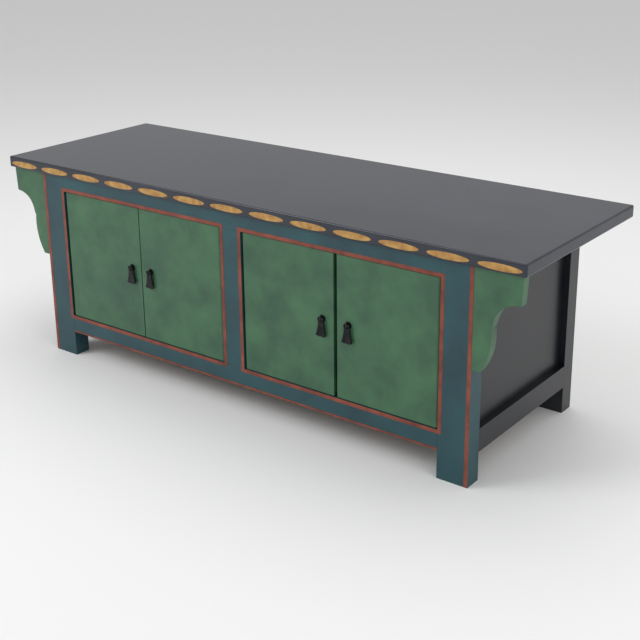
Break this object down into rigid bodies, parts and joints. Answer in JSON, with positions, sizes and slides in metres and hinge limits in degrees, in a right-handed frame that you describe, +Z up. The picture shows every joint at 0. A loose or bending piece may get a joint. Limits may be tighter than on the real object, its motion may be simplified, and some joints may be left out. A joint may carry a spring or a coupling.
{
  "type": "painted television cabinet",
  "caption": "Long low painted cabinet with pivot-hung doors, hanging pulls, bracketed legs and an overhanging top.",
  "frame": {"origin": "on the floor under the middle of the cabinet", "axes": "+X along the length to the right as seen from the front, -Y out of the doors, +Z up"},
  "size_m": [1.6, 0.53, 0.55],
  "materials": {
    "top_lacquer": "satin",
    "frame_lacquer": "satin",
    "black_lacquer": "satin",
    "green_lacquer": "satin",
    "bare_wood": "matte",
    "black_iron": "gloss",
    "pivot_steel": "satin"
  },
  "bodies": {
    "carcass": {"back_panel_left": "bare_wood", "back_panel_right": "bare_wood", "bottom_cross_rail": "bare_wood", "centre_stile": "frame_lacquer", "door_stop_left": "bare_wood", "door_stop_right": "bare_wood", "floor_board_left": "bare_wood", "floor_board_right": "bare_wood", "front_bottom_rail": "frame_lacquer", "front_left_leg": "frame_lacquer", "front_right_leg": "frame_lacquer", "front_top_rail": "frame_lacquer", "left_bottom_rail": "black_lacquer", "left_bracket": "green_lacquer", "left_side_panel": "black_lacquer", "left_top_rail": "black_lacquer", "rear_bottom_rail": "black_lacquer", "rear_centre_stile": "black_lacquer", "rear_left_leg": "black_lacquer", "rear_right_leg": "black_lacquer", "rear_top_rail": "black_lacquer", "right_bottom_rail": "black_lacquer", "right_bracket": "green_lacquer", "right_side_panel": "black_lacquer", "right_top_rail": "black_lacquer", "top_board": "top_lacquer", "top_cross_rail": "bare_wood"},
    "door_1": {"door_1_board": "green_lacquer", "door_1_pivot_bottom": "pivot_steel", "door_1_pivot_top": "pivot_steel", "pull_1_plate": "black_iron", "pull_1_eye": "black_iron"},
    "pull_1": {"pull_1_pendant": "black_iron"},
    "door_2": {"door_2_board": "green_lacquer", "door_2_pivot_bottom": "pivot_steel", "door_2_pivot_top": "pivot_steel", "pull_2_plate": "black_iron", "pull_2_eye": "black_iron"},
    "pull_2": {"pull_2_pendant": "black_iron"},
    "door_3": {"door_3_board": "green_lacquer", "door_3_pivot_bottom": "pivot_steel", "door_3_pivot_top": "pivot_steel", "pull_3_plate": "black_iron", "pull_3_eye": "black_iron"},
    "pull_3": {"pull_3_pendant": "black_iron"},
    "door_4": {"door_4_board": "green_lacquer", "door_4_pivot_bottom": "pivot_steel", "door_4_pivot_top": "pivot_steel", "pull_4_plate": "black_iron", "pull_4_eye": "black_iron"},
    "pull_4": {"pull_4_pendant": "black_iron"}
  },
  "joints": [
    {"name": "door_1_swing", "type": "hinge", "parent": "carcass", "child": "door_1", "pos_m": [-0.5855, -0.245, 0.299], "axis": [0, 0, -1], "range_deg": [0, 95]},
    {"name": "pull_1_swing", "type": "hinge", "parent": "door_1", "child": "pull_1", "pos_m": [-0.3475, -0.2592, 0.311], "axis": [-1, 0, 0], "range_deg": [-4, 75]},
    {"name": "door_2_swing", "type": "hinge", "parent": "carcass", "child": "door_2", "pos_m": [-0.0425, -0.245, 0.299], "axis": [0, 0, 1], "range_deg": [0, 85]},
    {"name": "pull_2_swing", "type": "hinge", "parent": "door_2", "child": "pull_2", "pos_m": [-0.2805, -0.2592, 0.311], "axis": [-1, 0, 0], "range_deg": [-4, 75]},
    {"name": "door_3_swing", "type": "hinge", "parent": "carcass", "child": "door_3", "pos_m": [0.0425, -0.245, 0.299], "axis": [0, 0, -1], "range_deg": [0, 85]},
    {"name": "pull_3_swing", "type": "hinge", "parent": "door_3", "child": "pull_3", "pos_m": [0.277, -0.2592, 0.311], "axis": [-1, 0, 0], "range_deg": [-4, 75]},
    {"name": "door_4_swing", "type": "hinge", "parent": "carcass", "child": "door_4", "pos_m": [0.5855, -0.245, 0.299], "axis": [0, 0, 1], "range_deg": [0, 95]},
    {"name": "pull_4_swing", "type": "hinge", "parent": "door_4", "child": "pull_4", "pos_m": [0.351, -0.2592, 0.311], "axis": [-1, 0, 0], "range_deg": [-4, 75]}
  ]
}
